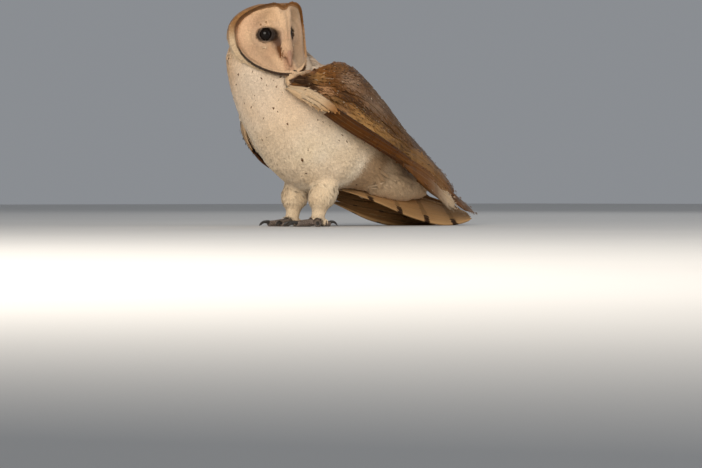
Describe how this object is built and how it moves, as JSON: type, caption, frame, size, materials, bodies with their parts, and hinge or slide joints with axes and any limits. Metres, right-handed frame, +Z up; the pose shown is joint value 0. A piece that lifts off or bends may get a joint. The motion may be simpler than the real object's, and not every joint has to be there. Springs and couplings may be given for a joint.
{
  "type": "barn owl",
  "caption": "Life-size barn owl standing on the floor, leaning forward, wings and tail folded, head turned over its left shoulder.",
  "frame": {"origin": "on the floor, below the middle of the bird's extent along X and Y", "axes": "+Z up, the body faces -Y with its tail to +Y, and its left side is +X, the way its head looks"},
  "size_m": [0.1315, 0.3166, 0.2277],
  "materials": {
    "white_plumage": "soft matte feathers",
    "gold_plumage": "soft matte feathers with fine dark speckles",
    "face_plumage": "fine velvety feathers",
    "flight_feather": "smooth barred vanes",
    "eye": "wet gloss",
    "bill": "pale horn, satin",
    "foot_skin": "scaled skin",
    "claw": "dark horn, satin"
  },
  "bodies": {
    "root": {"head": "face_plumage", "neck": "white_plumage", "trunk": "white_plumage", "wing_left": "gold_plumage", "wing_right": "gold_plumage", "secondaries_left": "flight_feather", "secondaries_right": "flight_feather", "primaries_left": "flight_feather", "primaries_right": "flight_feather", "tail": "flight_feather", "leg_left": "white_plumage", "leg_right": "white_plumage", "foot_left": "foot_skin", "foot_right": "foot_skin", "eye_left": "eye", "eye_right": "eye", "bill_upper": "bill", "bill_lower": "bill", "claw_left_inner": "claw", "claw_left_middle": "claw", "claw_left_outer": "claw", "claw_left_hind": "claw", "claw_right_inner": "claw", "claw_right_middle": "claw", "claw_right_outer": "claw", "claw_right_hind": "claw"}
  },
  "joints": []
}
